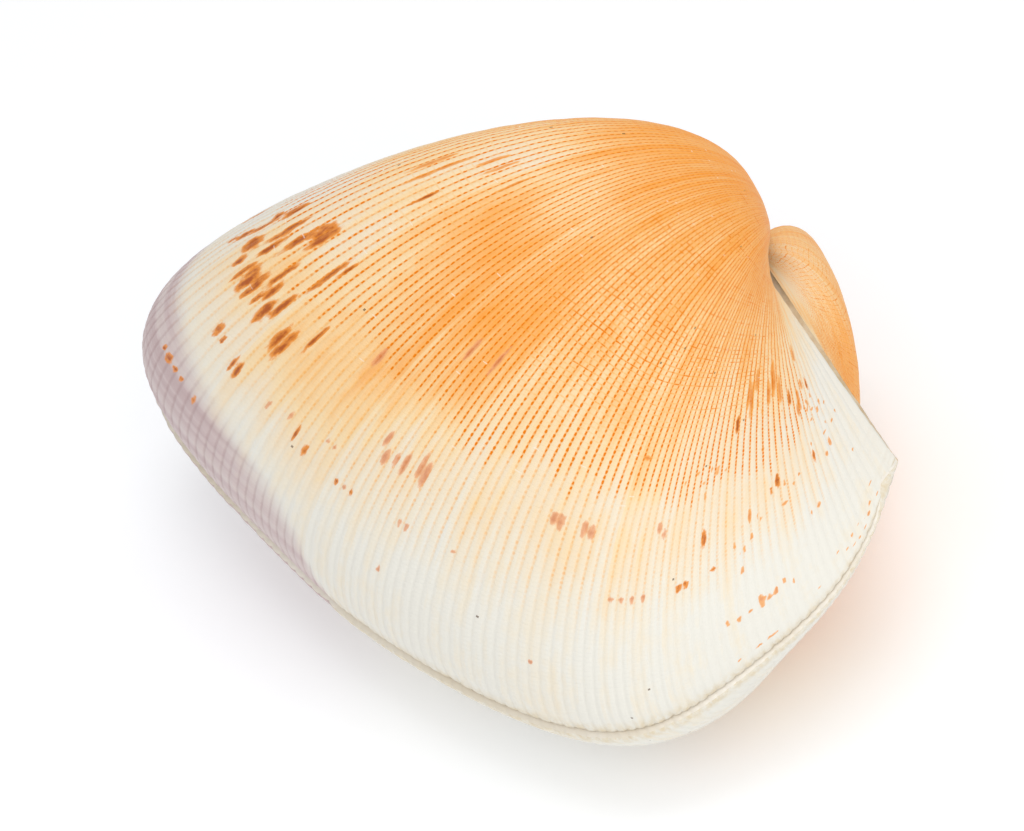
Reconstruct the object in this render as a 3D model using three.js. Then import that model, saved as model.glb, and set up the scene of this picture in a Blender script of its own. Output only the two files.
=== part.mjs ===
// Ark clam shell, closed and empty, lying on its left valve as it comes to rest on a table.
// Millimetres, +Z up. The origin is on the table, under the middle of the shell.
// While a valve is shaped, x runs along the hinge to the front end, y runs up to the beaks,
// and z runs out of the flat plane where the two valves meet.

import * as THREE from "three";

// The edge of a valve, in the plane where the valves meet. It starts at the front end of the
// straight hinge and runs round the bottom to the back end of the hinge.
const HINGE_FRONT = 34.2;
const HINGE_BACK = 21.2;
const EDGE_GUIDES = [
  [42.5, -10.3], [42.1, -24.5], [40.3, -40], [7.4, -52], [-4.2, -53.8],
  [-43.5, -59.3], [-45.2, -44.1], [-41.5, -29], [-32.7, -13.6],
];

// The valve grew as a spiral round its beak: the edge turned and shrank together.
const BEAK = new THREE.Vector3(0.5, 1.5, 2.4);
const SPIRAL_AXIS = new THREE.Vector3(1, -0.04, -0.06).normalize();
const YOUNG_RATE = 1.048;
const OLD_RATE = 0.1;
const SLOWDOWN = 0.153;
const BEAK_TURN = 3.9;

// The young valve was longer and taller for its size than the old one, and leant to the front.
const YOUNG_LENGTH = 0.19;
const YOUNG_HEIGHT = 0.26;
const YOUNG_LEAN = -0.3;

// The wall is a share of the valve's half width at the edge, and thickens towards the beak.
const WALL_SHARE = 0.085;
const WALL_THICKENING = 1.6;
const HOLLOW_MIDDLE = new THREE.Vector3(0, -28, 0);
const HINGE_PLATE = 5;

// The left valve is a little larger, so its rim shows outside the right one.
const LEFT_SCALE = 1.012;
const SEAM_GAP = 0.3;

// The ligament covers the flat strip behind the beaks: its ends are shares of the hinge.
const LIGAMENT_GAP = 0.3;
const LIGAMENT_EDGE = 0.3;
const LIGAMENT_THICK = 0.7;
const LIGAMENT_TURN = 0.62;
const LIGAMENT_FRONT = 0.46;
const LIGAMENT_BACK = 0.94;

// How the closed shell lies on its swollen left side, and where that puts the hinge's middle.
// The height lets the shell sink a little, which leaves a small worn flat on the table.
const LIE_ABOUT_HINGE = THREE.MathUtils.degToRad(19.2);
const LIE_ABOUT_HEIGHT = THREE.MathUtils.degToRad(9.5);
const HINGE_PLACE = new THREE.Vector3(2.92, 22.39, 30.79);

// How finely the surfaces are divided.
const EDGE_STEPS = 34;
const HINGE_STEPS = 9;
const OUTSIDE_ROWS = 20;
const ROWS_CROWD_AT_EDGE = 1.25;
const INSIDE_ROWS = 11;
const LIGAMENT_ROWS = 5;
const LIGAMENT_STEPS = 12;

const SHELL_CREAM = new THREE.MeshStandardMaterial({ color: 0xf2dcc0, roughness: 0.45, metalness: 0 });
const SHELL_ORANGE = new THREE.MeshStandardMaterial({ color: 0xefc79b, roughness: 0.45, metalness: 0 });
const LIGAMENT_BROWN = new THREE.MeshStandardMaterial({ color: 0x3b2a1e, roughness: 0.7, metalness: 0 });

// A smooth cubic curve through the first and last guide, drawn towards the guides between.
function smoothCurve(guides, share) {
  const first = guides[0].clone().multiplyScalar(2).sub(guides[1]);
  const last = guides.at(-1).clone().multiplyScalar(2).sub(guides.at(-2));
  const all = [first, ...guides, last];
  const spans = all.length - 3;
  const place = Math.min(share * spans, spans - 1e-9);
  const span = Math.floor(place);
  const f = place - span;
  const weights = [
    (1 - f) ** 3 / 6,
    (3 * f ** 3 - 6 * f ** 2 + 4) / 6,
    (-3 * f ** 3 + 3 * f ** 2 + 3 * f + 1) / 6,
    f ** 3 / 6,
  ];
  const point = new THREE.Vector3();
  weights.forEach((weight, k) => point.addScaledVector(all[span + k], weight));
  return point;
}

function edgePoint(share) {
  const guides = [[HINGE_FRONT, 0], ...EDGE_GUIDES, [-HINGE_BACK, 0]];
  return smoothCurve(guides.map(([x, y]) => new THREE.Vector3(x, y, 0)), share);
}

// share 0 is the front end of the hinge and share 1 its back end.
function hingePoint(share) {
  return new THREE.Vector3(THREE.MathUtils.lerp(HINGE_FRONT, -HINGE_BACK, share), 0, 0);
}

// The size of the valve when its edge still stood at this turn, as a share of the full size.
function sizeAt(turn) {
  const slowed = (OLD_RATE - YOUNG_RATE) * SLOWDOWN * (1 - Math.exp(-turn / SLOWDOWN));
  return Math.exp(-(YOUNG_RATE * turn + slowed));
}

// Where a point of the full-grown edge stood at this turn of the spiral.
function grow(point, turn) {
  const size = sizeAt(turn);
  const young = 1 - size;
  const arm = point.clone().sub(BEAK);
  arm.x += young * (YOUNG_LENGTH * arm.x + YOUNG_LEAN * arm.y);
  arm.y += young * YOUNG_HEIGHT * arm.y;
  return arm.applyAxisAngle(SPIRAL_AXIS, -turn).multiplyScalar(size).add(BEAK);
}

// The whole ring of the edge and the hinge, at full size.
function edgeRing() {
  const ring = [];
  for (let k = 0; k < EDGE_STEPS; k++) ring.push(edgePoint(k / EDGE_STEPS));
  for (let k = 0; k < HINGE_STEPS; k++) ring.push(hingePoint(1 - k / HINGE_STEPS));
  return ring;
}

// The ring round the hollow: the edge ring drawn in towards the middle, below the hinge plate.
function hollowRing(ring, inset) {
  return ring.map((point) => {
    const inner = point.clone().lerp(HOLLOW_MIDDLE, inset);
    const floor = THREE.MathUtils.lerp(-HINGE_PLATE, HOLLOW_MIDDLE.y, inset);
    inner.y = Math.min(inner.y, floor);
    return inner;
  });
}

// A closed skin over rings of equal length, with a point at each end.
function closedSkin(startPoint, rings, endPoint) {
  const count = rings[0].length;
  const points = [startPoint, ...rings.flat(), endPoint];
  const corner = (row, k) => 1 + row * count + (k % count);
  const faces = [];
  for (let k = 0; k < count; k++) faces.push(0, corner(0, k + 1), corner(0, k));
  for (let row = 0; row + 1 < rings.length; row++) {
    for (let k = 0; k < count; k++) {
      faces.push(corner(row, k), corner(row, k + 1), corner(row + 1, k));
      faces.push(corner(row, k + 1), corner(row + 1, k + 1), corner(row + 1, k));
    }
  }
  const last = rings.length - 1;
  for (let k = 0; k < count; k++) faces.push(corner(last, k), corner(last, k + 1), points.length - 1);
  return { points, faces };
}

function valveSkin() {
  const ring = edgeRing();
  const outside = [];
  for (let row = OUTSIDE_ROWS; row >= 0; row--) {
    const turn = BEAK_TURN * (row / (OUTSIDE_ROWS + 1)) ** ROWS_CROWD_AT_EDGE;
    outside.push(ring.map((point) => grow(point, turn)));
  }
  const hollowEnd = Math.log(1 / WALL_SHARE) / WALL_THICKENING;
  const inside = [];
  for (let row = 0; row < INSIDE_ROWS; row++) {
    const turn = hollowEnd * Math.sin((Math.PI / 2) * (row / INSIDE_ROWS));
    const inset = WALL_SHARE * Math.exp(WALL_THICKENING * turn);
    inside.push(hollowRing(ring, inset).map((point) => grow(point, turn)));
  }
  return closedSkin(BEAK.clone(), [...outside, ...inside], grow(HOLLOW_MIDDLE, hollowEnd));
}

// The strip of ligament: rings across it, from its front end to its back end.
function ligamentSkin() {
  const rings = [];
  for (let k = 0; k <= LIGAMENT_STEPS; k++) {
    const share = THREE.MathUtils.lerp(LIGAMENT_FRONT, LIGAMENT_BACK, k / LIGAMENT_STEPS);
    const lower = [];
    const upper = [];
    for (let row = -LIGAMENT_ROWS; row <= LIGAMENT_ROWS; row++) {
      const across = Math.abs(row) / LIGAMENT_ROWS;
      const point = grow(hingePoint(share), LIGAMENT_TURN * across);
      point.z = Math.sign(row) * (point.z + SEAM_GAP / 2);
      point.y += LIGAMENT_GAP;
      lower.push(point);
      const thick = THREE.MathUtils.lerp(LIGAMENT_THICK, LIGAMENT_EDGE, across ** 2);
      upper.unshift(point.clone().add(new THREE.Vector3(0, thick, 0)));
    }
    rings.push([...lower, ...upper]);
  }
  return closedSkin(middleOf(rings[0]), rings, middleOf(rings.at(-1)));
}

function middleOf(points) {
  const sum = new THREE.Vector3();
  points.forEach((point) => sum.add(point));
  return sum.divideScalar(points.length);
}

// Turns a piece into the way the shell lies, and levels it where it would sink into the table.
function lay(skin) {
  const turned = new THREE.Euler(LIE_ABOUT_HINGE, LIE_ABOUT_HEIGHT, 0, "YXZ");
  skin.points.forEach((point) => {
    point.applyEuler(turned).add(HINGE_PLACE);
    point.z = Math.max(point.z, 0);
  });
}

function piece(name, skin, material) {
  lay(skin);
  const geometry = new THREE.BufferGeometry().setFromPoints(skin.points);
  geometry.setIndex(skin.faces);
  const mesh = new THREE.Mesh(geometry, material);
  mesh.name = name;
  return mesh;
}

function rightValve() {
  const skin = valveSkin();
  skin.points.forEach((point) => { point.z += SEAM_GAP / 2; });
  return piece("right_valve", skin, SHELL_ORANGE);
}

// The left valve mirrors the right one, so its faces are turned over.
function leftValve() {
  const skin = valveSkin();
  skin.points.forEach((point) => {
    point.multiplyScalar(LEFT_SCALE);
    point.z = -point.z - SEAM_GAP / 2;
  });
  skin.faces.reverse();
  return piece("left_valve", skin, SHELL_CREAM);
}

const shell = new THREE.Group();
shell.name = "ark_clam_shell";
shell.add(rightValve(), leftValve(), piece("ligament", ligamentSkin(), LIGAMENT_BROWN));

export default shell;
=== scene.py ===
"""Ark clam shell, closed and empty, lying on its left valve. Blender 4.5."""

import math

import bmesh
import bpy
import numpy as np
from mathutils import Euler, Matrix, Vector


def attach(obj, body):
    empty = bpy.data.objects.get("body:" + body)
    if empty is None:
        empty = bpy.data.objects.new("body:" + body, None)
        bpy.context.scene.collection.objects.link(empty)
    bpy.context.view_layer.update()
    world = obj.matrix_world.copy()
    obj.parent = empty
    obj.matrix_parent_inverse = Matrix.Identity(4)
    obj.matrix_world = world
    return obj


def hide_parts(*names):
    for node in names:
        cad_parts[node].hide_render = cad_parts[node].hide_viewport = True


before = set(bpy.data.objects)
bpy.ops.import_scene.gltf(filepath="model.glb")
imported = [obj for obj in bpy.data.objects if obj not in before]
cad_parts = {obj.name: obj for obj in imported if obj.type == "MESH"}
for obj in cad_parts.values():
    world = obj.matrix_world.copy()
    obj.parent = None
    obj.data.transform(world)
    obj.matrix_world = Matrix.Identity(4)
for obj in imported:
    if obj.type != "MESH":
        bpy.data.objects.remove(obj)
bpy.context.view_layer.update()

# The valves are shaped in millimetres in their own axes: x along the hinge to the front end,
# y up to the beaks, z out from the plane where the valves meet.
MM = 0.001

# The edge of a valve, from the front end of the hinge round the bottom to its back end.
HINGE_FRONT = 34.2
HINGE_BACK = 21.2
EDGE_GUIDES = [
    (42.5, -10.3), (42.1, -24.5), (40.3, -40), (7.4, -52), (-4.2, -53.8),
    (-43.5, -59.3), (-45.2, -44.1), (-41.5, -29), (-32.7, -13.6),
]

# The spiral that the edge grew along, round the beak.
BEAK = np.array([0.5, 1.5, 2.4])
SPIRAL_AXIS = np.array([1.0, -0.04, -0.06])
YOUNG_RATE = 1.048
OLD_RATE = 0.1
SLOWDOWN = 0.153
BEAK_TURN = 3.9

# The young valve was longer and taller for its size than the old one, and leant to the front.
YOUNG_LENGTH = 0.19
YOUNG_HEIGHT = 0.26
YOUNG_LEAN = -0.3

# The wall, the hollow and the hinge plate.
WALL_SHARE = 0.085
WALL_THICKENING = 1.6
HOLLOW_MIDDLE = np.array([0.0, -28.0, 0.0])
HINGE_PLATE = 5.0

LEFT_SCALE = 1.012
SEAM_GAP = 0.3

# How the closed shell lies on the table.
LIE_ABOUT_HINGE = math.radians(19.2)
LIE_ABOUT_HEIGHT = math.radians(9.5)
HINGE_PLACE = np.array([2.92, 22.39, 30.79])

# Ribs: how many a whole edge would hold if all were as close as here, at shares of the edge.
RIBS_ALONG_EDGE = [
    (0.0, 92), (0.12, 112), (0.2, 128), (0.25, 165), (0.32, 178), (0.39, 186), (0.44, 126),
    (0.475, 128), (0.51, 186), (0.54, 180), (0.58, 140), (0.64, 122), (0.75, 110), (1.0, 104),
]

# Where the columns of points lie across one rib, and the height of a full-grown rib in mm.
RIB_STEPS = (0.0, 0.16, 0.38, 0.62, 0.84)
RIB_HEIGHT = 0.11

# The lip in mm: how deep it is rounded off at these distances from the edge, how far it
# reaches towards the other valve and how deep the ribs tooth it. The last two fade out within
# a distance on the outside and within rows of points on the inside.
LIP_ROUNDING = [(0.0, 0.14), (0.15, 0.06), (0.4, 0.015)]
LIP_CLOSING = 0.08
LIP_TOOTHING = 0.03
LIP_FADE = 1.2
LIP_FADE_ROWS_INSIDE = 0.7

# Wear of the lip in mm: uneven all along, deep at the front corner, and how far in it reaches.
# The corner's place and width are shares of the edge.
LIP_RAGGED = 0.12
WORN_CORNER = 0.8
WORN_CORNER_SHARE = 0.022
WORN_CORNER_WIDTH = 0.014
WEAR_REACH = 1.7

# Steps where growth paused: distance from the edge along the middle rib, and depth, in mm.
GROWTH_STEPS = [
    (2.2, 0.05), (4.9, 0.04), (8.0, 0.07), (14.3, 0.04), (17.6, 0.06), (22.6, 0.04),
    (31.1, 0.06), (33.1, 0.07), (38.2, 0.05), (43.7, 0.03), (48.3, 0.05), (53.3, 0.06),
    (56.5, 0.06), (61.0, 0.07), (65.2, 0.08), (69.3, 0.06), (73.0, 0.05),
]
STEP_WIDTH = 0.8

# The fine growth lines of the painted pattern stand this far apart, in mm.
LINE_SPACING = 0.62

# Mesh fineness, and the share of the edge where the middle rib ends.
HINGE_STEPS = 26
OUTSIDE_ROWS = 104
ROWS_CROWD_AT_EDGE = 0.25
ROWS_STOP_BEFORE_BEAK = 0.998
INSIDE_ROWS = 22
MIDDLE_SHARE = 0.45

# How orange the ground colour is, from 0 to 1, against mm from the edge.
WARMTH_WITH_AGE = [
    (0, 0), (11.4, 0.02), (19, 0.13), (26.4, 0.30), (33.7, 0.46),
    (41.7, 0.59), (50.7, 0.63), (59.8, 0.72), (69.4, 0.85), (83, 0.90),
]

# How far the lilac stain reaches from the edge in mm, against shares of the edge.
LILAC_REACH = [
    (0.44, -4.0), (0.475, 7.5), (0.50, 10.6), (0.55, 14.2), (0.60, 18.4),
    (0.65, 20.0), (0.72, 15.6), (0.80, 7.0), (0.88, -4.0),
]

# The dots in the grooves: strongly painted from this many mm inward, and faintly before.
DOTS_START = 33.0
DOTS_STRONG = 0.95
DOTS_FAINT = 0.32

# Colours, as seen in even light: the ground from white to orange first. A mark's colours are
# its pale outside, its deep middle and how strongly it covers.
WARM_COLOURS = [
    (0.00, "eae7dd"), (0.15, "eee4d0"), (0.30, "f1dec0"), (0.45, "f5daae"),
    (0.60, "f7cc93"), (0.75, "f7b974"), (0.90, "f7a650"), (1.00, "f59636"),
]
GROOVE_ORANGE = "ea7f02"
GROOVE_YELLOW = "f8b244"
MARK_COLOURS = {
    "ochre": ("f2a248", "e07a10", 0.80),
    "rosy": ("e8a070", "cf7648", 0.78),
    "brown": ("ea9036", "ac4e0a", 0.95),
}
VIOLET_CREST = "cdb8b7"
VIOLET_GROOVE = "ab8c8c"
RIM_BEIGE = "dccbaa"
SCRATCH_WHITE = "fbf6ee"
SPECK_BROWN = "5a3c22"
PORCELAIN = "f1ebe0"
PORCELAIN_SHADE = "e3d8c4"
# The hinge strip's pale colour is lighter than its own: painted light that brightens it in the
# shade between the valves.
HINGE_STRIP_WITH_PAINTED_LIGHT = "e8d9bf"
HINGE_STRIP_SHADE = "cbb18a"
LIGAMENT_DARK = "241710"
LIGAMENT_BROWN = "4a3120"
FLOOR_WHITE = "f1f3f6"
FLOOR_GLOW = 0.17

# The finish of the ribbed outside: how much it shines, and the fine relief between the ribs.
OUTSIDE_SHINE = 0.14
RELIEF_STRENGTH = 0.22
RELIEF_DEPTH = 0.00010

# Random chances: a dark speck in a cell this many to a rib and to a mm, and a pale scratch.
SPECK_CELLS = (4.0, 3.6)
SPECK_CHANCE = 0.0002
SCRATCHES_PER_RIB = 1.5
SCRATCH_CHANCE = 0.006


def smooth_curve(guides, shares):
    """A smooth cubic curve through the first and last guide, drawn towards those between."""
    guides = np.asarray(guides, float)
    first = 2 * guides[0] - guides[1]
    last = 2 * guides[-1] - guides[-2]
    guides = np.vstack([first, guides, last])
    place = np.clip(np.asarray(shares) * (len(guides) - 3), 0, len(guides) - 3 - 1e-9)
    span = place.astype(int)
    f = (place - span)[:, None]
    return (
        guides[span] * (1 - f) ** 3 / 6
        + guides[span + 1] * (3 * f**3 - 6 * f**2 + 4) / 6
        + guides[span + 2] * (-3 * f**3 + 3 * f**2 + 3 * f + 1) / 6
        + guides[span + 3] * f**3 / 6
    )


def edge_points(shares):
    flat = smooth_curve([(HINGE_FRONT, 0), *EDGE_GUIDES, (-HINGE_BACK, 0)], shares)
    return np.column_stack([flat, np.zeros(len(flat))])


def hinge_points(shares):
    """share 0 is the front end of the hinge and share 1 its back end."""
    shares = np.asarray(shares, float)
    along = HINGE_FRONT + (-HINGE_BACK - HINGE_FRONT) * shares
    return np.column_stack([along, np.zeros((len(along), 2))])


def size_at(turn):
    """The size of the valve when its edge stood at this turn, as a share of the full size."""
    slowed = (OLD_RATE - YOUNG_RATE) * SLOWDOWN * (1 - np.exp(-turn / SLOWDOWN))
    return np.exp(-(YOUNG_RATE * turn + slowed))


def grow(points, turns):
    """Where points of the full-grown edge stood at these turns: one row of points for each."""
    axis = SPIRAL_AXIS / np.linalg.norm(SPIRAL_AXIS)
    arms = np.broadcast_to(points, (len(turns), *np.shape(points)[-2:])) - BEAK
    young = 1 - size_at(turns)[:, None]
    arms[..., 0] += young * (YOUNG_LENGTH * arms[..., 0] + YOUNG_LEAN * arms[..., 1])
    arms[..., 1] += young * YOUNG_HEIGHT * arms[..., 1]
    cosine = np.cos(-turns)[:, None, None]
    sine = np.sin(-turns)[:, None, None]
    along = (arms @ axis)[..., None] * axis
    turned = arms * cosine + np.cross(axis, arms) * sine + along * (1 - cosine)
    return BEAK + turned * size_at(turns)[:, None, None]


# Turns of the spiral against millimetres from the edge, measured along the middle rib.
FINE_TURNS = np.linspace(0, BEAK_TURN, 4000)
MIDDLE_RIB = grow(edge_points([MIDDLE_SHARE]), FINE_TURNS)[:, 0]
FINE_AGES = np.r_[0, np.cumsum(np.linalg.norm(np.diff(MIDDLE_RIB, axis=0), axis=1))]
FULL_AGE = FINE_AGES[-1]


def turns_at(ages):
    return np.interp(ages, FINE_AGES, FINE_TURNS)


def rib_table():
    """Shares of the edge against the number of ribs passed."""
    shares = np.linspace(0, 1, 4001)
    density = np.interp(shares, *zip(*RIBS_ALONG_EDGE))
    passed = np.r_[0, np.cumsum((density[1:] + density[:-1]) / 2 * np.diff(shares))]
    return shares, passed * round(passed[-1]) / passed[-1]


SHARE_TABLE, RIB_TABLE = rib_table()
RIB_COUNT = int(round(RIB_TABLE[-1]))


def smooth_step(low, high, value):
    t = np.clip((value - low) / (high - low), 0, 1)
    return t * t * (3 - 2 * t)


def bell(value, middle, width):
    return np.exp(-(((value - middle) / width) ** 2))


def waves(seed, value, lengths):
    """A gentle wandering line between -1 and 1, the same for the same seed."""
    random = np.random.default_rng(seed)
    total = sum(np.sin(2 * np.pi * (value / length + random.random())) for length in lengths)
    return total / len(lengths)


# Marks on the right valve: share of the edge, mm from the edge along the middle rib,
# half width in ribs and half length in mm. A mark's outline has these parts of that width and
# length, and its ends are a little blunter than an ellipse's.
MARK_WIDTH = 0.92
MARK_LENGTH = 0.84
MARK_END_BLUNTNESS = 2.2
BROWN_MARKS = [
    (0.541, 26.3, 0.52, 3.2), (0.546, 26.6, 0.52, 3), (0.531, 29.4, 0.35, 3),
    (0.563, 27.4, 0.58, 2.7), (0.558, 29.2, 0.41, 3.2), (0.569, 29.5, 0.46, 2.3),
    (0.572, 27.6, 0.3, 1.8), (0.574, 31.3, 0.41, 3.2), (0.579, 28.2, 0.41, 2.9),
    (0.581, 29.2, 0.35, 2), (0.585, 27.9, 0.52, 2.7), (0.589, 28.8, 0.46, 2.3),
    (0.593, 28, 0.3, 3), (0.603, 28, 0.46, 1.8), (0.611, 30, 0.93, 2.3), (0.628, 28.7, 0.52, 2),
    (0.633, 26.7, 0.41, 1.2), (0.597, 31.9, 0.46, 3.2), (0.603, 34.1, 0.52, 3.8),
    (0.589, 34.9, 0.52, 4), (0.580, 36.9, 0.58, 3.2), (0.585, 37.5, 0.58, 2.2),
    (0.555, 35, 0.41, 3.8), (0.551, 36.7, 0.3, 1.8), (0.621, 35.2, 0.7, 2.5),
    (0.624, 31.2, 0.41, 2.6), (0.629, 32.9, 0.7, 1.2), (0.550, 20.2, 0.41, 2.1),
    (0.554, 20.4, 0.3, 1.8), (0.573, 21.7, 0.46, 1.7), (0.567, 21.4, 0.3, 1),
    (0.568, 46.7, 0.35, 2.1), (0.559, 12.4, 0.3, 1.1), (0.571, 12.9, 0.3, 0.8),
    (0.577, 13, 0.35, 0.8), (0.584, 13.1, 0.58, 1.1), (0.591, 13.3, 0.3, 0.8),
    (0.228, 20.1, 0.52, 0.9), (0.234, 20, 0.64, 0.8), (0.205, 20.3, 0.46, 0.8),
    (0.495, 18.9, 0.46, 1.2), (0.505, 19.8, 0.3, 1.8), (0.448, 18.8, 0.35, 0.9),
    (0.463, 18.8, 0.35, 0.8), (0.087, 27.8, 0.3, 2), (0.106, 42, 0.41, 2.3),
    (0.065, 41.8, 0.35, 2.3), (0.188, 40.7, 0.46, 2.3), (0.146, 27.7, 0.35, 0.8),
    (0.138, 28.6, 0.46, 1.8), (0.214, 25.6, 0.41, 2.1),
]
ROSY_MARKS = [
    (0.403, 25.7, 0.52, 2.2), (0.408, 26.4, 0.52, 2.2), (0.420, 25.4, 0.52, 2),
    (0.428, 25.2, 0.46, 1.4), (0.437, 24.8, 0.52, 1.5), (0.444, 26.6, 0.41, 1.5),
    (0.304, 28, 0.46, 1.4), (0.309, 28.2, 0.52, 1.4), (0.323, 28.1, 0.64, 1.4),
    (0.327, 28.2, 0.52, 1.2), (0.251, 28.1, 0.46, 1.1), (0.256, 28.9, 0.46, 1.1),
    (0.399, 19.3, 0.41, 0.8), (0.404, 19.3, 0.35, 0.7), (0.455, 18.9, 0.3, 0.7),
    (0.478, 21.9, 0.3, 0.7), (0.485, 21.9, 0.3, 0.7), (0.513, 21.1, 0.3, 1), (0.526, 20, 0.3, 1),
    (0.261, 20.1, 0.35, 0.8), (0.269, 20.1, 0.35, 0.8), (0.276, 20.2, 0.41, 0.8),
    (0.283, 20.3, 0.46, 0.8), (0.494, 32.5, 0.52, 1.8), (0.407, 12.5, 0.3, 0.8),
    (0.323, 10.2, 0.3, 0.6), (0.370, 19.5, 0.3, 0.6), (0.434, 39.4, 0.58, 1.9),
    (0.407, 40, 0.46, 2.5),
]
OCHRE_MARKS = [
    (0.123, 44.5, 0.52, 4), (0.134, 46.9, 0.7, 4.9), (0.143, 44.5, 0.52, 3.2),
    (0.171, 44.3, 0.58, 4.2), (0.176, 45.6, 0.41, 3.9), (0.164, 47.6, 0.52, 3),
    (0.077, 49.7, 0.41, 3.2), (0.077, 42.7, 0.41, 1.8), (0.089, 41.1, 0.41, 2.6),
    (0.094, 38.5, 0.41, 2.1), (0.088, 38.4, 0.35, 0.9), (0.074, 38.1, 0.3, 0.8),
    (0.133, 24.1, 0.58, 0.7), (0.059, 26.9, 0.3, 1.7), (0.069, 25.6, 0.3, 1),
    (0.170, 25.6, 0.3, 2), (0.167, 10, 0.46, 0.7), (0.166, 3.1, 0.93, 0.5), (0.121, 4, 0.46, 0.4),
    (0.178, 3, 0.58, 0.5), (0.194, 3, 0.3, 0.3), (0.207, 2.6, 0.35, 0.3), (0.589, 49.5, 0.41, 4.8),
    (0.601, 49.1, 0.41, 3.5), (0.566, 53.7, 0.35, 2.6), (0.577, 53.7, 0.35, 2.3),
    (0.545, 53.6, 0.3, 2.6), (0.507, 53, 0.3, 1.1), (0.281, 37.7, 0.81, 0.7),
    (0.035, 19.3, 0.3, 0.7), (0.181, 20.6, 0.3, 0.5),
]

# Broad patches of the right valve that are more or less orange than the rest at their age:
# share, age, half width as a share, half length in mm, and how much.
RIGHT_PATCHES = [
    (0.445, 42, 0.05, 7.5, 0.24), (0.40, 43, 0.014, 7, 0.14), (0.35, 47, 0.015, 3, 0.12),
    (0.33, 37, 0.04, 6, -0.10), (0.49, 32, 0.02, 4, 0.15), (0.436, 32, 0.02, 3, 0.12),
    (0.52, 50, 0.04, 5, 0.18), (0.505, 43, 0.03, 9, 0.12), (0.51, 25, 0.045, 8, 0.28),
    (0.41, 55, 0.04, 5, 0.09), (0.58, 40, 0.05, 8, -0.26), (0.58, 55, 0.05, 7, -0.30),
    (0.50, 57, 0.07, 3.5, -0.14), (0.02, 39, 0.075, 24, -0.55), (0.15, 40, 0.06, 9, -0.18),
    (0.22, 40, 0.05, 8, -0.12), (0.28, 31, 0.08, 2.2, -0.10), (0.15, 46, 0.04, 5, 0.08),
    (0.82, 42, 0.12, 22, -0.18), (0.652, 34, 0.033, 10, -0.50), (0.41, 35, 0.02, 4, 0.12),
    (0.285, 38, 0.015, 4, 0.12), (0.585, 32, 0.035, 5, 0.22),
]
# On the left valve the pale patches on the beak, at ages 82 and 84, are partly its own paler
# colour and partly painted light that brightens the shaded place between the beaks.
LEFT_PATCHES_AND_PAINTED_LIGHT = [
    (0.38, 37.2, 0.07, 7.4, 0.22), (0.6, 43.7, 0.06, 9.3, -0.24), (0.05, 39.1, 0.10, 24.2, -0.70),
    (0.16, 53.9, 0.06, 5.6, 0.2), (0.5, 61.3, 0.1, 7.4, -0.22), (0.82, 41.8, 0.12, 22.3, -0.18),
    (0.22, 82, 0.24, 9, -0.46), (0.07, 74, 0.07, 6, -0.34), (0.55, 84, 0.2, 6, -0.22),
    (0.10, 64, 0.08, 4, 0.10),
]


def scattered_marks(seed, count, shares, ages, lengths=(0.96, 3.84), widths=(0.3, 0.6)):
    """Marks strewn in short rows along the growth lines, as the photographed valve has them."""
    random = np.random.default_rng(seed)
    marks = []
    while len(marks) < count:
        share = random.uniform(*shares)
        age = random.uniform(*ages)
        for _ in range(random.integers(1, 6)):
            long = random.uniform(*lengths)
            marks.append((share, age + random.normal(0, 0.7), random.uniform(*widths), long))
            share += random.uniform(0.006, 0.012)
    return marks


def mark_field(marks, shares, ages):
    """1 in the middle of a mark, 0 on its outline and down to -1 away from it."""
    ribs = np.interp(shares, SHARE_TABLE, RIB_TABLE)
    field = np.full((len(ages), len(shares)), -1.0)
    for share, age, wide, long in marks:
        middle = np.interp(share, SHARE_TABLE, RIB_TABLE)
        wide, long = MARK_WIDTH * wide, MARK_LENGTH * long
        columns = np.abs(ribs - middle) < 2 * wide
        across = (ribs[columns] - middle) / wide
        along = np.abs(ages - age) / long
        near = 1 - across[None, :] ** 2 - along[:, None] ** MARK_END_BLUNTNESS
        field[:, columns] = np.maximum(field[:, columns], near)
    return field


def warmth(shares, ages, patches, seed):
    """How orange the ground colour is, from 0, white, to 1."""
    ribs = np.interp(shares, SHARE_TABLE, RIB_TABLE)
    own = np.random.default_rng(seed).normal(0, 1, RIB_COUNT + 1)[np.floor(ribs).astype(int)]
    wander = waves(seed + 1, ribs, (7.3, 17.0, 41.0))
    shifted = ages[:, None] + 0.8 * own[None, :] + 2.0 * wander[None, :]
    ground = np.interp(shifted, *zip(*WARMTH_WITH_AGE))
    for share, age, wide, long, amount in patches:
        ground += amount * bell(shares[None, :], share, wide) * bell(shifted, age, long)
    return np.clip(ground, 0, 1)


def dashes(shares, ages, seed):
    """How strongly the grooves between the ribs are painted orange.

    The paint is worn near the beak, and faint at the front end and in a pale place at the back.
    """
    ribs = np.interp(shares, SHARE_TABLE, RIB_TABLE)
    own = np.random.default_rng(seed).normal(0, 1, RIB_COUNT + 1)[np.floor(ribs + 0.5).astype(int)]
    start = DOTS_START + 2.3 * waves(seed + 2, ribs, (13.0, 29.0, 61.0)) + 1.2 * own
    strong = smooth_step(-1.5, 1.5, ages[:, None] - start[None, :])
    faint = smooth_step(14, 24, ages[:, None]) * DOTS_FAINT
    worn = 1 - 0.45 * smooth_step(61, 74, ages[:, None])
    level = (faint + DOTS_STRONG * strong) * worn * (1 + 0.20 * own[None, :])
    level *= 1 - 0.45 * bell(shares[None, :], 0.575, 0.05) * bell(ages[:, None], 43.7, 11)
    level *= smooth_step(0.02, 0.14, shares)[None, :]
    return np.clip(level, 0, 1)


def violet(shares, ages):
    """The lilac stain along the back part of the edge."""
    reach = np.interp(shares, *zip(*LILAC_REACH))
    return smooth_step(-2.0, 3.0, reach[None, :] - ages[:, None])


def netting(shares, ages):
    """Where growth lines are painted as well as the grooves, so that they form a net."""
    front = smooth_step(0.08, 0.16, shares) * (1 - 0.7 * smooth_step(0.36, 0.50, shares))
    return front[None, :] * smooth_step(32, 50, ages)[:, None]


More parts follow.
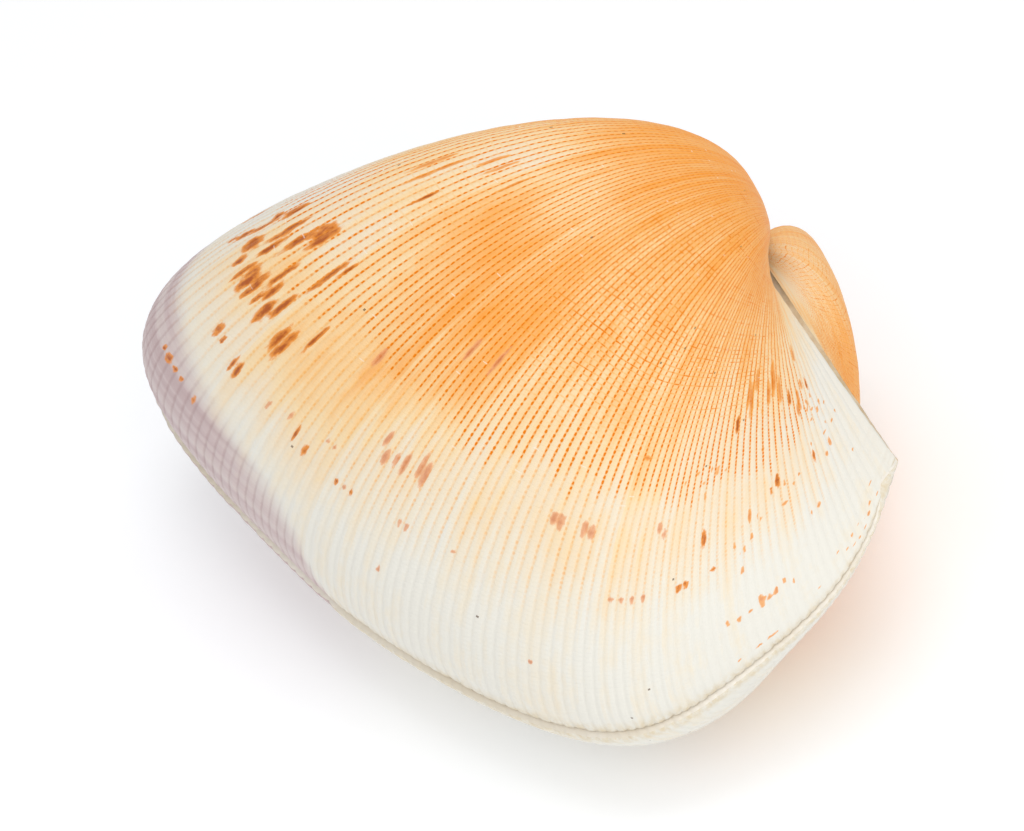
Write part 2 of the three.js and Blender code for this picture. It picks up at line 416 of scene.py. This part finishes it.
def ring_of_edge():
    """The full-grown ring: shares of all its points, rib numbers of its edge, and the points."""
    ribs = np.concatenate([k + np.array(RIB_STEPS) for k in range(RIB_COUNT)])
    shares = np.interp(ribs, RIB_TABLE, SHARE_TABLE)
    back_to_front = 1 - np.arange(HINGE_STEPS) / HINGE_STEPS
    points = np.vstack([edge_points(shares), hinge_points(back_to_front)])
    return np.r_[shares, back_to_front], ribs, points


def facing_out(rows, ring_middle):
    """Unit normals of a grid of rings, pointing away from the ring's middle."""
    along_ring = np.roll(rows, -1, axis=1) - np.roll(rows, 1, axis=1)
    along_growth = np.gradient(rows, axis=0)
    normals = np.cross(along_growth, along_ring)
    normals /= np.linalg.norm(normals, axis=-1, keepdims=True) + 1e-12
    outward = (normals * (rows - ring_middle)).sum(-1)
    return normals * np.where(outward.sum() < 0, -1, 1)


def rib_relief(ribs, ages, turns, edge_count):
    """Height of the ribs above the grooves, in mm: none on the hinge strip."""
    phase = ribs - np.floor(ribs)
    crest = 1 - np.abs(2 * phase - 1) ** 3
    relief = np.zeros((len(ages), edge_count + HINGE_STEPS))
    relief[:, :edge_count] = crest[None, :] * RIB_HEIGHT * size_at(turns)[:, None] ** 0.7
    return relief


def growth_relief(shares, ages, seed):
    """The notches where growth paused, wandering a little from rib to rib."""
    relief = np.zeros((len(ages), len(shares)))
    for number, (age, depth) in enumerate(GROWTH_STEPS):
        line = age + 0.5 * waves(seed + number, shares, (0.31, 0.13, 0.05))
        gap = ages[:, None] - line[None, :]
        relief -= depth * bell(gap, 0, STEP_WIDTH) + 0.6 * depth * smooth_step(-1.0, 3.0, gap)
        relief += 0.6 * depth * smooth_step(0.0, 9.0, gap)
    return relief


def outside_ages():
    """Rows of the outside: first the rounded lip, then on to the beak, closer near the edge."""
    lip = [age for age, _ in LIP_ROUNDING]
    steps = np.linspace(0, 1, OUTSIDE_ROWS - len(lip) + 1)[1:]
    spread = (1 - ROWS_CROWD_AT_EDGE) * steps + ROWS_CROWD_AT_EDGE * steps**2
    return np.r_[lip, lip[-1] + (FULL_AGE - lip[-1]) * ROWS_STOP_BEFORE_BEAK * spread]


def hollow_rings(ring, insets):
    """The ring drawn in towards the middle and below the hinge plate, once for each inset."""
    rows = []
    for inset in insets:
        inner = ring + (HOLLOW_MIDDLE - ring) * inset
        floor = -HINGE_PLATE + (HOLLOW_MIDDLE[1] + HINGE_PLATE) * inset
        inner[:, 1] = np.minimum(inner[:, 1], floor)
        rows.append(inner)
    return np.array(rows)


def lip_wear(shares, ribs, seed):
    """How deep the lip is worn along the edge, in mm: nowhere on the hinge."""
    uneven = smooth_step(0.1, 0.8, waves(seed + 40, ribs, (2.3, 5.1, 11.0)))
    corner = bell(shares, WORN_CORNER_SHARE, WORN_CORNER_WIDTH)
    return np.r_[LIP_RAGGED * uneven + WORN_CORNER * corner, np.zeros(HINGE_STEPS)]


def valve_rings(seed):
    """The rings of a valve's skin from the beak over the edge into the hollow, in mm."""
    shares, ribs, ring = ring_of_edge()
    edge_count = len(ribs)
    ages = outside_ages()
    turns = turns_at(ages)
    outside = grow(ring, turns)
    normals = facing_out(outside, grow(HOLLOW_MIDDLE[None], turns))
    relief = rib_relief(ribs, ages, turns, edge_count)
    on_edge = np.zeros(edge_count + HINGE_STEPS)
    on_edge[:edge_count] = 1
    relief += growth_relief(shares, ages, seed) * on_edge * size_at(turns)[:, None] ** 0.3
    fading = np.clip(1 - ages / WEAR_REACH, 0, 1)
    relief -= lip_wear(shares[:edge_count], ribs, seed) * fading[:, None]
    for row, (_, rounding) in enumerate(LIP_ROUNDING):
        relief[row] -= rounding * on_edge
    outside = outside + normals * relief[..., None]

    hollow_end = math.log(1 / WALL_SHARE) / WALL_THICKENING
    inner_turns = hollow_end * np.sin(math.pi / 2 * np.arange(INSIDE_ROWS) / INSIDE_ROWS)
    insets = WALL_SHARE * np.exp(WALL_THICKENING * inner_turns)
    inside = grow(hollow_rings(ring, insets), inner_turns)

    wave = np.zeros(edge_count + HINGE_STEPS)
    wave[:edge_count] = LIP_TOOTHING * np.cos(2 * np.pi * ribs)
    wave -= LIP_CLOSING * on_edge
    outside[..., 2] += wave * np.exp(-ages / LIP_FADE)[:, None]
    inside[..., 2] += wave * np.exp(-np.arange(INSIDE_ROWS) / LIP_FADE_ROWS_INSIDE)[:, None]
    top, bottom = BEAK, grow(HOLLOW_MIDDLE[None], np.array([hollow_end]))[0, 0]
    return shares, ribs, ages, outside, inside, top, bottom


def lie(points):
    """From the shell's own axes in mm to its place on the table in metres."""
    turn = Euler((LIE_ABOUT_HINGE, 0, 0)).to_matrix()
    turn.rotate(Euler((0, LIE_ABOUT_HEIGHT, 0)))
    laid = np.asarray(points, float) @ np.array(turn).T + HINGE_PLACE
    laid[:, 2] = np.maximum(laid[:, 2], 0)
    return laid * MM


def seat_valve(points, left):
    """The right valve is modelled; the left one is its slightly larger mirror image."""
    if left:
        points = points * LEFT_SCALE * np.array([1, 1, -1])
    lift = SEAM_GAP / 2 * (-1 if left else 1)
    return lie(points + np.array([0, 0, lift]))


def skin(rings, start, end):
    """A closed skin over equal rings with a point at each end: points, faces, bake map corners."""
    row_count, count = rings.shape[:2]
    points = np.vstack([start[None], rings.reshape(-1, 3), end[None]])
    height = row_count + 1
    faces, corners = [], []
    for k in range(count):
        following = (k + 1) % count
        left, right = k / count, (k + 1) / count
        faces.append((0, 1 + following, 1 + k))
        corners.append(((left + right) / 2, 0, right, 1 / height, left, 1 / height))
        for row in range(row_count - 1):
            a = 1 + row * count
            b = a + count
            low, high = (row + 1) / height, (row + 2) / height
            faces.append((a + k, a + following, b + following, b + k))
            corners.append((left, low, right, low, right, high, left, high))
        a = 1 + (row_count - 1) * count
        faces.append((a + k, a + following, len(points) - 1))
        low = row_count / height
        corners.append((left, low, right, low, (left + right) / 2, 1))
    return points, faces, corners


def new_object(name, points, faces, corners, materials, kinds=None):
    mesh = bpy.data.meshes.new(name)
    mesh.from_pydata(points.tolist(), [], faces)
    bake_map = mesh.uv_layers.new(name="OFBake")
    bake_map.data.foreach_set("uv", np.concatenate([np.array(c) for c in corners]))
    for material in materials:
        mesh.materials.append(material)
    if kinds is not None:
        mesh.polygons.foreach_set("material_index", kinds)
    work = bmesh.new()
    work.from_mesh(mesh)
    bmesh.ops.recalc_face_normals(work, faces=work.faces)
    work.to_mesh(mesh)
    work.free()
    mesh.shade_smooth()
    made = bpy.data.objects.new(name, mesh)
    bpy.context.scene.collection.objects.link(made)
    return made


def add_field(made, name, values):
    field = made.data.attributes.new(name, "FLOAT", "POINT")
    field.data.foreach_set("value", np.asarray(values, np.float32))


# Places in a valve's list of materials.
RIBBED, SMOOTH, STRIP = 0, 1, 2


def make_valve(name, left, patches, marks, seed, materials):
    """One whole valve: ribbed outside, hinge strip, rim and smooth hollow."""
    shares, ribs, ages, outside, inside, top, bottom = valve_rings(seed)
    edge_count = len(ribs)
    ring_count = edge_count + HINGE_STEPS
    rings = np.concatenate([outside[::-1], inside])
    points, faces, corners = skin(rings, top, bottom)
    per_column = len(rings) + 1
    in_column = np.arange(per_column)
    kinds = np.full((ring_count, per_column), RIBBED)
    kinds[edge_count:] = STRIP
    kinds[:, in_column > len(ages) - 1] = SMOOTH
    made = new_object(name, seat_valve(points, left), faces, corners, materials, kinds.ravel())

    def spread(table, hinge_value, inside_value):
        """A table of rows from the edge to the beak, put on every point of the skin."""
        full = np.full((len(rings), ring_count), float(inside_value))
        full[: len(ages), edge_count:] = hinge_value
        full[: len(ages), :edge_count] = table[::-1]
        return np.r_[full[0, 0], full.ravel(), inside_value]

    edge_shares = shares[:edge_count]
    age_field = np.full((len(rings), ring_count), -1.0)
    age_field[: len(ages)] = ages[::-1, None]
    add_field(made, "age", np.r_[FULL_AGE, age_field.ravel(), -1.0])
    add_field(made, "rib", spread(np.repeat(ribs[None], len(ages), axis=0), 0.5, 0.5))
    add_field(made, "warm", spread(warmth(edge_shares, ages, patches, seed), 0.3, 0))
    add_field(made, "dash", spread(dashes(edge_shares, ages, seed), 0, 0))
    add_field(made, "violet", spread(violet(edge_shares, ages), 0, 0))
    add_field(made, "net", spread(netting(edge_shares, ages), 0, 0))
    for tone, list_of_marks in marks.items():
        add_field(made, tone, spread(mark_field(list_of_marks, edge_shares, ages), -1, -1))
    return made


# The ligament: a dried, grooved strip over the flat behind the beaks.
LIGAMENT_GAP = 0.3
LIGAMENT_EDGE = 0.3
LIGAMENT_THICK = 0.7
LIGAMENT_TURN = 0.62
LIGAMENT_FRONT = 0.46
LIGAMENT_BACK = 0.94
LIGAMENT_POINTS_ACROSS = 49
LIGAMENT_RINGS = 150
CHEVRON_SPACING = 1.25
CHEVRON_SLOPE = (0.8, 1.7)
CHEVRON_DEPTH = 0.16
CHEVRON_WIDTH = 0.16


def chevron_number(points):
    """How many V-shaped grooves lie between the middle of the strip and these points."""
    along, across = CHEVRON_SLOPE
    return (np.abs(points[:, 0]) * along + np.abs(points[:, 2]) * across) / CHEVRON_SPACING


def make_ligament(material):
    """The strip: rings across it from front to back, thick in the middle and thin at the ends."""
    across_steps = np.linspace(-1, 1, LIGAMENT_POINTS_ACROSS)
    rings = []
    for share in np.linspace(LIGAMENT_FRONT, LIGAMENT_BACK, LIGAMENT_RINGS):
        near_end = smooth_step(0, 0.05, min(share - LIGAMENT_FRONT, LIGAMENT_BACK - share) + 0.012)
        reach = LIGAMENT_TURN * (0.86 + 0.08 * waves(7, share, (0.21, 0.083, 0.037)))
        flat = grow(hinge_points([share]), np.abs(across_steps) * reach)[:, 0]
        flat[:, 2] = np.sign(across_steps) * (flat[:, 2] + SEAM_GAP / 2)
        flat[:, 1] += LIGAMENT_GAP
        chevron = chevron_number(flat)
        groove = bell(chevron - np.round(chevron), 0, CHEVRON_WIDTH)
        thick = LIGAMENT_EDGE + (LIGAMENT_THICK - LIGAMENT_EDGE) * (1 - across_steps**2)
        thick = (thick - CHEVRON_DEPTH * groove) * near_end
        raised = flat + thick[:, None] * np.array([0, 1, 0])
        rings.append(np.vstack([flat, raised[::-1]]))
    rings = np.array(rings)
    points, faces, corners = skin(rings, rings[0].mean(0), rings[-1].mean(0))
    made = new_object("dried_ligament", lie(points), faces, corners, [material])
    add_field(made, "chevron", chevron_number(points))
    return made


def linear(code):
    """A colour written as six hexadecimal digits, as the four numbers a socket takes."""
    parts = [int(code[k : k + 2], 16) / 255 for k in (0, 2, 4)]
    return [c / 12.92 if c <= 0.04045 else ((c + 0.055) / 1.055) ** 2.4 for c in parts] + [1.0]


class Nodes:
    """Short ways to add nodes to one tree; a value is a number, a colour or another's output."""

    def __init__(self, tree):
        self.tree = tree

    def add(self, kind, **settings):
        made = self.tree.nodes.new(kind)
        for name, value in settings.items():
            setattr(made, name, value)
        return made

    def feed(self, socket, value):
        if isinstance(value, bpy.types.NodeSocket):
            self.tree.links.new(value, socket)
        elif value is not None:
            socket.default_value = value

    def math(self, operation, a, b=None, c=None):
        made = self.add("ShaderNodeMath", operation=operation)
        for socket, value in zip(made.inputs, (a, b, c)):
            self.feed(socket, value)
        return made.outputs[0]

    def ease(self, value, low, high, to_low=0.0, to_high=1.0):
        made = self.add("ShaderNodeMapRange", interpolation_type="SMOOTHSTEP")
        for name, number in (
            ("Value", value), ("From Min", low), ("From Max", high),
            ("To Min", to_low), ("To Max", to_high),
        ):
            self.feed(made.inputs[name], number)
        return made.outputs["Result"]

    def mix(self, share, first, second):
        made = self.add("ShaderNodeMix", data_type="RGBA")
        for number, value in ((0, share), (6, first), (7, second)):
            self.feed(made.inputs[number], value)
        return made.outputs[2]

    def field(self, name):
        return self.add("ShaderNodeAttribute", attribute_name=name).outputs["Fac"]

    def place(self, x, y, z=0.0):
        made = self.add("ShaderNodeCombineXYZ")
        for socket, value in zip(made.inputs, (x, y, z)):
            self.feed(socket, value)
        return made.outputs[0]

    def cloud(self, place, scale, detail=2.0, rough=0.5):
        made = self.add("ShaderNodeTexNoise")
        for name, value in (
            ("Vector", place), ("Scale", scale), ("Detail", detail), ("Roughness", rough),
        ):
            self.feed(made.inputs[name], value)
        return made.outputs["Fac"]

    def valve_cloud(self, rib, age, seed, per_rib, per_mm, detail=2.0, rough=0.5):
        """A cloud over a valve, drawn out along the ribs or across them by the two numbers."""
        rib, age = self.math("MULTIPLY", rib, per_rib), self.math("MULTIPLY", age, per_mm)
        return self.cloud(self.place(rib, age, seed), 1.0, detail, rough)

    def chance(self, place):
        """A number from 0 to 1 that is its own for every whole place."""
        made = self.add("ShaderNodeTexWhiteNoise", noise_dimensions="3D")
        self.feed(made.inputs["Vector"], place)
        return made.outputs["Value"]

    def product(self, *values):
        total = values[0]
        for value in values[1:]:
            total = self.math("MULTIPLY", total, value)
        return total

    def group(self, tree, **values):
        made = self.add("ShaderNodeGroup", node_tree=tree)
        for name, value in values.items():
            self.feed(made.inputs[name], value)
        return made.outputs


def new_group(name, inputs, outputs):
    """A shader node group that takes numbers and puts out masks."""
    tree = bpy.data.node_groups.new(name, "ShaderNodeTree")
    for label in inputs:
        tree.interface.new_socket(label, in_out="INPUT", socket_type="NodeSocketFloat")
    for label in outputs:
        tree.interface.new_socket(label, in_out="OUTPUT", socket_type="NodeSocketFloat")
    nodes = Nodes(tree)
    return tree, nodes, nodes.add("NodeGroupInput").outputs, nodes.add("NodeGroupOutput").inputs


def growth_pattern_group():
    """Grooves between ribs, growth lines across them, and the relief that both make."""
    tree, n, given, out = new_group(
        "Growth pattern",
        ["Rib", "Age", "Seed"],
        ["Groove", "Line", "Dot", "Scratch", "Strong Line", "Own", "Grain", "Relief"],
    )
    rib, age, seed = given["Rib"], given["Age"], given["Seed"]
    ragged = n.valve_cloud(rib, age, seed, 1.0, 2.6)
    drift = n.valve_cloud(rib, age, seed, 0.09, 0.11, 3.0)
    grain = n.valve_cloud(rib, age, seed, 1.7, 0.62, 4.0, 0.62)

    # The nearest groove, and how far it is: 0 in the groove and 1 on the crest of a rib.
    groove_number = n.math("FLOOR", n.math("ADD", rib, 0.5))
    from_groove = n.math("SUBTRACT", rib, groove_number)
    from_groove = n.math("MULTIPLY", n.math("ABSOLUTE", from_groove), 2.0)
    uneven = n.math("ADD", from_groove, n.math("MULTIPLY_ADD", ragged, 0.36, -0.18))
    groove = n.ease(uneven, 0.10, 0.40, 1.0, 0.0)

    # The nearest growth line, in the same way. The lines wander with the drift.
    count = n.math("MULTIPLY_ADD", drift, 1.8, n.math("DIVIDE", age, LINE_SPACING))
    line_number = n.math("FLOOR", n.math("ADD", count, 0.5))
    from_line = n.math("SUBTRACT", count, line_number)
    from_line = n.math("MULTIPLY", n.math("ABSOLUTE", from_line), 2.0)
    line = n.ease(from_line, 0.10, 0.42, 1.0, 0.0)

    # Painted lines are weaker on the crests and differ from rib to rib and from line to line.
    cell = n.chance(n.place(n.math("FLOOR", rib), line_number, n.math("ADD", seed, 20.0)))
    broken = n.product(
        line,
        n.ease(cell, 0.0, 1.0, 0.55, 1.0),
        n.ease(ragged, 0.32, 0.56, 0.45, 1.0),
        n.ease(from_groove, 0.1, 0.8, 1.0, 0.68),
    )
    line_strength = n.chance(n.place(line_number, seed, 4.0))
    strong_line = n.math("MULTIPLY", broken, n.ease(line_strength, 0.55, 0.95))

    # One dot in a groove between two growth lines, some of them fainter.
    dot_strength = n.chance(n.place(groove_number, n.math("FLOOR", count), seed))
    dot_strength = n.ease(dot_strength, 0.0, 0.8, 0.35, 1.0)
    dot = n.math("MULTIPLY", n.ease(from_line, 0.15, 0.75), dot_strength)

    # Here and there a short, pale scratch along a growth line.
    scratch_cell = n.math("FLOOR", n.math("MULTIPLY", rib, SCRATCHES_PER_RIB))
    scratched = n.chance(n.place(scratch_cell, line_number, 9.0))
    scratched = n.math("GREATER_THAN", scratched, 1 - SCRATCH_CHANCE)
    scratch = n.math("MULTIPLY", n.ease(from_line, 0.05, 0.30, 1.0, 0.0), scratched)

    # A number of its own for each rib, and the beads that the ribs' crests are divided into.
    own = n.chance(n.place(groove_number, seed))
    bead = n.math("MULTIPLY", n.math("SUBTRACT", 1.0, groove), n.math("SUBTRACT", 1.0, line))
    for name, value in (
        ("Groove", groove), ("Line", broken), ("Dot", dot), ("Scratch", scratch),
        ("Strong Line", strong_line), ("Own", own), ("Grain", grain), ("Relief", bead),
    ):
        n.feed(out[name], value)
    return tree


def painted_marks_group():
    """Ragged marks, from a field that is 1 in a mark's middle and 0 on its outline."""
    tree, n, given, out = new_group("Painted marks", ["Field", "Grain"], ["Cover", "Depth"])
    rough = n.math("MULTIPLY_ADD", given["Grain"], 1.9, -0.95)
    edge = n.math("ADD", given["Field"], rough)
    n.feed(out["Cover"], n.ease(edge, 0.00, 0.55))
    n.feed(out["Depth"], n.ease(edge, 0.45, 1.10))
    return tree


def new_material(name):
    material = bpy.data.materials.new(name)
    material.use_nodes = True
    shader = material.node_tree.nodes["Principled BSDF"]
    return material, Nodes(material.node_tree), shader


def colour_ramp(n, value, stops):
    ramp = n.add("ShaderNodeValToRGB")
    marks = ramp.color_ramp.elements
    while len(marks) < len(stops):
        marks.new(0.5)
    for mark, (position, code) in zip(marks, stops):
        mark.position = position
        mark.color = linear(code)
    n.feed(ramp.inputs["Fac"], value)
    return ramp.outputs["Color"]


def add_relief(n, shader, height, depth, strength=1.0):
    """Fine relief in the shading: depth in metres."""
    bump = n.add("ShaderNodeBump")
    n.feed(bump.inputs["Strength"], strength)
    n.feed(bump.inputs["Distance"], depth)
    n.feed(bump.inputs["Height"], height)
    n.feed(shader.inputs["Normal"], bump.outputs["Normal"])


def outside_material(pattern_group, marks_group, seed):
    material, n, shader = new_material("Ribbed shell outside")
    rib, age, dash = n.field("rib"), n.field("age"), n.field("dash")
    pattern = n.group(pattern_group, Rib=rib, Age=age, Seed=seed)
    groove, line, dot, grain = (pattern[name] for name in ("Groove", "Line", "Dot", "Grain"))

    # The ground colour: clouded, and a little different from rib to rib.
    cloudy = n.valve_cloud(rib, age, seed, 0.16, 0.10, 4.0, 0.6)
    streaky = n.valve_cloud(rib, age, seed, 0.75, 0.09, 3.0, 0.6)
    warm = n.field("warm")
    for change, amount in ((cloudy, 0.30), (streaky, 0.40), (pattern["Own"], 0.12), (grain, 0.20)):
        warm = n.math("ADD", warm, n.math("MULTIPLY_ADD", change, amount, -amount / 2))
    ground = colour_ramp(n, warm, WARM_COLOURS)
    rim = n.product(n.ease(age, 0.3, 2.6, 1.0, 0.0), n.ease(grain, 0.25, 0.7), 0.8)
    ground = n.mix(rim, ground, linear(RIM_BEIGE))

    # The lilac stain, darker in the grooves and in bands along the growth lines.
    band = n.valve_cloud(rib, age, seed, 0.04, 0.55)
    lilac = n.product(n.field("violet"), n.ease(band, 0.3, 0.65, 0.72, 1.0))
    ground = n.mix(lilac, ground, linear(VIOLET_CREST))
    ground = n.mix(n.product(lilac, groove, 0.32), ground, linear(VIOLET_GROOVE))
    ground = n.mix(n.product(lilac, n.ease(band, 0.5, 0.72), 0.35), ground, linear(VIOLET_GROOVE))

    # Orange painted as dots in the grooves, and as a net where growth lines are painted too.
    dotted = n.math("MULTIPLY_ADD", dot, 0.74, 0.56)
    dotted = n.product(groove, dash, dotted, n.ease(grain, 0.25, 0.6, 0.7, 1.0))
    crossing = n.math("MULTIPLY_ADD", line, 0.95, n.math("MULTIPLY", pattern["Strong Line"], 0.5))
    netted = n.product(n.field("net"), crossing, n.ease(grain, 0.3, 0.6, 0.3, 1.0))
    painted = n.math("MAXIMUM", dotted, netted)
    tone = n.mix(n.ease(painted, 0.1, 0.9), linear(GROOVE_YELLOW), linear(GROOVE_ORANGE))
    ground = n.mix(n.math("MINIMUM", n.math("MULTIPLY", painted, 1.25), 1.0), ground, tone)

    # The marks, paler and ragged on the outside.
    for name, (pale, deep, strength) in MARK_COLOURS.items():
        marks = n.group(marks_group, Field=n.field(name), Grain=grain)
        tone = n.mix(marks["Depth"], linear(pale), linear(deep))
        ground = n.mix(n.math("MULTIPLY", marks["Cover"], strength), ground, tone)

    # Fine pale scratches, and a few dark specks of dirt.
    scratches = n.product(pattern["Scratch"], n.ease(age, 20.0, 34.0), 0.45)
    ground = n.mix(scratches, ground, linear(SCRATCH_WHITE))
    cell = [
        n.math("FLOOR", n.math("MULTIPLY", value, cells))
        for value, cells in zip((rib, age), SPECK_CELLS)
    ]
    specks = n.math("GREATER_THAN", n.chance(n.place(*cell, seed)), 1 - SPECK_CHANCE)
    ground = n.mix(n.math("MULTIPLY", specks, 0.75), ground, linear(SPECK_BROWN))

    n.feed(shader.inputs["Base Color"], ground)
    n.feed(shader.inputs["Roughness"], n.ease(n.math("ADD", groove, line), 0.0, 2.0, 0.38, 0.55))
    n.feed(shader.inputs["Specular IOR Level"], OUTSIDE_SHINE)
    add_relief(n, shader, pattern["Relief"], RELIEF_DEPTH, RELIEF_STRENGTH)
    return material


def inside_material():
    material, n, shader = new_material("Smooth shell inside")
    spot = n.add("ShaderNodeTexCoord").outputs["Object"]
    cloud = n.cloud(spot, 60.0, 3.0)
    tone = n.mix(n.ease(cloud, 0.3, 0.7), linear(PORCELAIN), linear(PORCELAIN_SHADE))
    n.feed(shader.inputs["Base Color"], tone)
    n.feed(shader.inputs["Roughness"], n.ease(cloud, 0.2, 0.8, 0.25, 0.4))
    return material


def hinge_strip_material():
    material, n, shader = new_material("Hinge strip")
    spot = n.add("ShaderNodeTexCoord").outputs["Object"]
    cloud = n.cloud(spot, 220.0, 4.0, 0.6)
    tone = n.mix(n.ease(cloud, 0.3, 0.7), linear(HINGE_STRIP_WITH_PAINTED_LIGHT), linear(HINGE_STRIP_SHADE))
    n.feed(shader.inputs["Base Color"], tone)
    n.feed(shader.inputs["Roughness"], n.ease(cloud, 0.2, 0.8, 0.5, 0.7))
    add_relief(n, shader, n.cloud(spot, 600.0, 3.0), 0.00015)
    return material


def ligament_material():
    material, n, shader = new_material("Dried ligament")
    spot = n.add("ShaderNodeTexCoord").outputs["Object"]
    chevron = n.math("FRACT", n.field("chevron"))
    groove = n.ease(n.math("ABSOLUTE", n.math("SUBTRACT", chevron, 0.5)), 0.25, 0.5)
    cloud = n.cloud(spot, 500.0, 4.0, 0.65)
    tone = n.mix(n.ease(cloud, 0.3, 0.7), linear(LIGAMENT_BROWN), linear(LIGAMENT_DARK))
    tone = n.mix(n.math("MULTIPLY", groove, 0.7), tone, linear(LIGAMENT_DARK))
    n.feed(shader.inputs["Base Color"], tone)
    n.feed(shader.inputs["Roughness"], n.ease(cloud, 0.2, 0.8, 0.5, 0.85))
    add_relief(n, shader, cloud, 0.0002)
    return material


def table_material():
    material, n, shader = new_material("White table")
    spot = n.add("ShaderNodeTexCoord").outputs["Object"]
    cloud = n.cloud(spot, 30.0, 2.0)
    n.feed(shader.inputs["Base Color"], linear(FLOOR_WHITE))
    n.feed(shader.inputs["Emission Color"], (1.0, 1.0, 1.0, 1.0))
    n.feed(shader.inputs["Emission Strength"], FLOOR_GLOW)
    n.feed(shader.inputs["Roughness"], n.ease(cloud, 0.0, 1.0, 0.75, 0.85))
    return material


# The pieces.
patterns = growth_pattern_group()
painted_marks = painted_marks_group()
valve_materials = [
    outside_material(patterns, painted_marks, 3.0),
    inside_material(),
    hinge_strip_material(),
]
hidden_back = {"shares": (0.66, 0.97), "ages": (8, 70)}
front_flecks = scattered_marks(14, 64, (0.03, 0.21), (3, 44), (0.36, 0.96), (0.2, 0.4))
right_marks = {
    "brown": BROWN_MARKS + scattered_marks(11, 26, **hidden_back),
    "rosy": ROSY_MARKS + scattered_marks(12, 14, **hidden_back),
    "ochre": OCHRE_MARKS + scattered_marks(13, 30, **hidden_back) + front_flecks,
}
left_marks = {
    "brown": (
        scattered_marks(21, 26, (0.50, 0.70), (18, 44))
        + scattered_marks(22, 30, (0.08, 0.9), (16, 50))
    ),
    "rosy": scattered_marks(23, 36, (0.2, 0.8), (12, 46)),
    "ochre": scattered_marks(24, 60, (0.05, 0.95), (10, 66)),
}
right_valve = make_valve(
    "right_valve_ribbed", False, RIGHT_PATCHES, right_marks, 5, valve_materials
)
left_valve = make_valve(
    "left_valve_ribbed", True, LEFT_PATCHES_AND_PAINTED_LIGHT, left_marks, 8, valve_materials
)
ligament = make_ligament(ligament_material())

for made, node, slot in (
    (right_valve, "right_valve", "shell"),
    (left_valve, "left_valve", "shell"),
    (ligament, "ligament", "ligament"),
):
    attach(made, "root")
    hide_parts(node)

# The table, in metres.
TABLE_HALF = 4.0
table_mesh = bpy.data.meshes.new("table")
table_corners = [
    (x * TABLE_HALF, y * TABLE_HALF, 0) for x, y in ((-1, -1), (1, -1), (1, 1), (-1, 1))
]
table_mesh.from_pydata(table_corners, [], [(0, 1, 2, 3)])
table = bpy.data.objects.new("table", table_mesh)
table.data.materials.append(table_material())
bpy.context.scene.collection.objects.link(table)

# The camera, as the photograph was taken: round from the front, down on the shell, and rolled.
AIM = Vector((0.0035, -0.0045, 0.02575))
CAMERA_AROUND = math.radians(78.98)
CAMERA_ABOVE = math.radians(37.41)
CAMERA_AWAY = 0.6642
CAMERA_ROLL = math.radians(21.39)
LENS = 236.5


def facing(around, above):
    """The direction from the object to a place round it and above it."""
    flat = math.cos(above)
    return Vector((math.sin(around) * flat, -math.cos(around) * flat, math.sin(above)))


camera = bpy.data.objects.new("camera", bpy.data.cameras.new("camera"))
camera.data.lens = LENS
camera.data.sensor_width = 36.0
camera.data.clip_start = 0.01
back = facing(CAMERA_AROUND, CAMERA_ABOVE)
level = (-back).to_track_quat("-Z", "Y").to_matrix()
rolled = level @ Matrix.Rotation(-CAMERA_ROLL, 3, "Z")
camera.matrix_world = Matrix.Translation(AIM + back * CAMERA_AWAY) @ rolled.to_4x4()
bpy.context.scene.collection.objects.link(camera)
bpy.context.scene.camera = camera


def add_lamp(name, around, above, away, size, watts):
    """A square soft lamp that points at the shell: angles in degrees, the rest in metres."""
    lamp = bpy.data.objects.new(name, bpy.data.lights.new(name, "AREA"))
    lamp.data.size = size
    lamp.data.energy = watts
    place = facing(math.radians(around), math.radians(above)) * away
    lamp.location = place
    lamp.rotation_euler = (-place).to_track_quat("-Z", "Y").to_euler()
    bpy.context.scene.collection.objects.link(lamp)


add_lamp("front_soft_light", around=79, above=44, away=1.0, size=0.6, watts=2.6)
add_lamp("top_soft_light", around=112, above=76, away=1.0, size=0.5, watts=2.2)

ROOM_LIGHT = 0.64
world = bpy.data.worlds.new("studio")
world.use_nodes = True
background = world.node_tree.nodes["Background"]
background.inputs["Color"].default_value = (1, 1, 1, 1)
background.inputs["Strength"].default_value = ROOM_LIGHT
bpy.context.scene.world = world
bpy.context.scene.view_settings.view_transform = "Standard"
